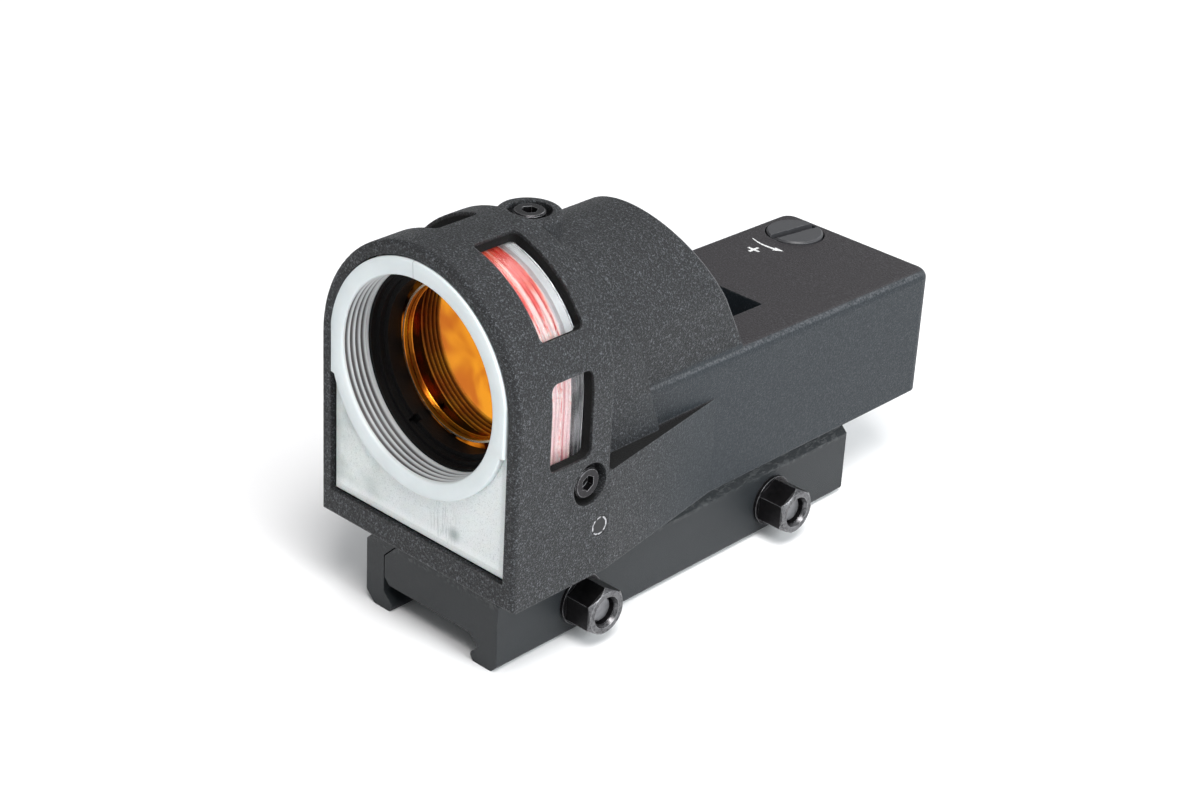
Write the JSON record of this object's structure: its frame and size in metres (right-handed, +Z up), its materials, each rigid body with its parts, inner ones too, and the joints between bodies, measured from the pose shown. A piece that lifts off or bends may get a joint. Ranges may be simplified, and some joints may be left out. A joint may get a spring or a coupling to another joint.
{
  "type": "red dot sight",
  "caption": "Self-lit reflex sight with an arched front block, light collecting fibre windows, a slanted barrel over a rear reticle box, and a screw clamp for an accessory rail.",
  "frame": {"origin": "middle of the flat seat that rests on the rail, half way between the two cross bolts", "axes": "+Z up, away from the rail; +Y back towards the eye along the rail, so the objective faces -Y; +X towards the side of the clamp nuts"},
  "size_m": [0.046, 0.1149, 0.0732],
  "materials": {
    "housing": "rough black coating over cast aluminium",
    "base": "fine matt black coating",
    "cover": "fine matt black coating",
    "black_metal": "matt black anodised",
    "brass": "turned, bright",
    "steel": "turned",
    "screw": "black oxide",
    "nut": "black oxide, bright edges",
    "front_plate": "frosted, slightly translucent",
    "front_ring": "smooth moulded",
    "white_plastic": "moulded",
    "paint": "white painted marks",
    "fibre": "fluorescent red fibre",
    "pane": "clear",
    "clear_glass": "clear, coated",
    "objective": "amber reflecting coating",
    "capsule": "glowing tube",
    "seal": "soft"
  },
  "bodies": {
    "sight": {"housing": "housing", "front_plate": "front_plate", "front_ring": "front_ring", "step_ring": "black_metal", "aperture_ring": "brass", "objective_front": "objective", "objective_rear": "clear_glass", "objective_seal": "seal", "bobbin": "white_plastic", "fibre_coil": "fibre", "pane_upper_right": "pane", "pane_upper_left": "pane", "pane_side_right": "pane", "pane_side_left": "pane", "side_plug": "black_metal", "light_guide": "fibre", "rear_window": "clear_glass", "rear_retainer": "black_metal", "emitter_glass": "clear_glass", "box_cover": "cover", "saddle_pin_front": "steel", "saddle_pin_rear": "steel", "base": "base", "top_screw": "screw", "side_screw_right": "screw", "side_screw_left": "screw", "cover_screw_1": "screw", "cover_screw_2": "screw", "cover_screw_3": "screw", "cover_screw_4": "screw", "washer_front": "steel", "washer_rear": "steel", "base_screw_front": "screw", "base_screw_rear": "screw"},
    "nut_front": {"clamp_nut_front": "nut"},
    "nut_rear": {"clamp_nut_rear": "nut"},
    "clamp": {"clamp_bar": "base", "cross_bolt_front": "steel", "cross_bolt_rear": "steel"},
    "elevation_knob": {"elevation_screw": "black_metal", "elevation_clip": "steel"},
    "elevation_follower": {"elevation_nut": "brass"},
    "windage_knob": {"windage_screw": "black_metal", "windage_clip": "steel"},
    "windage_carriage": {"windage_saddle": "black_metal", "reticle_pin_left": "steel", "reticle_pin_right": "steel"},
    "reticle": {"reticle_block": "black_metal", "reticle_mask": "black_metal", "glow_capsule": "capsule"}
  },
  "joints": [
    {"name": "front_nut_turn", "type": "hinge", "parent": "sight", "child": "nut_front", "pos_m": [0.019, -0.025, 0.0016], "axis": [1, 0, 0], "range_deg": [0, 1440]},
    {"name": "rear_nut_turn", "type": "hinge", "parent": "sight", "child": "nut_rear", "pos_m": [0.019, 0.025, 0.0016], "axis": [1, 0, 0], "range_deg": [0, 1440]},
    {"name": "clamp_slide", "type": "slide", "parent": "sight", "child": "clamp", "axis": [-1, 0, 0], "range_m": [0, 0.0032]},
    {"name": "elevation_turn", "type": "hinge", "parent": "sight", "child": "elevation_knob", "pos_m": [-0.0096, 0.0582, 0.035], "axis": [0, 0, 1], "range_deg": [-900, 900]},
    {"name": "elevation_follower_slide", "type": "slide", "parent": "sight", "child": "elevation_follower", "axis": [0, 0, 1], "range_m": [-0.00088, 0.00088]},
    {"name": "reticle_slide", "type": "slide", "parent": "windage_carriage", "child": "reticle", "axis": [0, 0, 1], "range_m": [-0.00088, 0.00088]},
    {"name": "windage_turn", "type": "hinge", "parent": "sight", "child": "windage_knob", "pos_m": [-0.0165, 0.0373, 0.0195], "axis": [-1, 0, 0], "range_deg": [-900, 900]},
    {"name": "windage_slide", "type": "slide", "parent": "sight", "child": "windage_carriage", "axis": [1, 0, 0], "range_m": [-0.00088, 0.00088]}
  ],
  "couplings": [
    {"joint": "front_nut_turn", "follows": "clamp_slide", "rad_per_m": 7853.9},
    {"joint": "rear_nut_turn", "follows": "clamp_slide", "rad_per_m": 7853.9},
    {"joint": "elevation_turn", "follows": "elevation_follower_slide", "rad_per_m": 17952},
    {"joint": "reticle_slide", "follows": "elevation_follower_slide", "ratio": 1},
    {"joint": "windage_turn", "follows": "windage_slide", "rad_per_m": 17952}
  ]
}
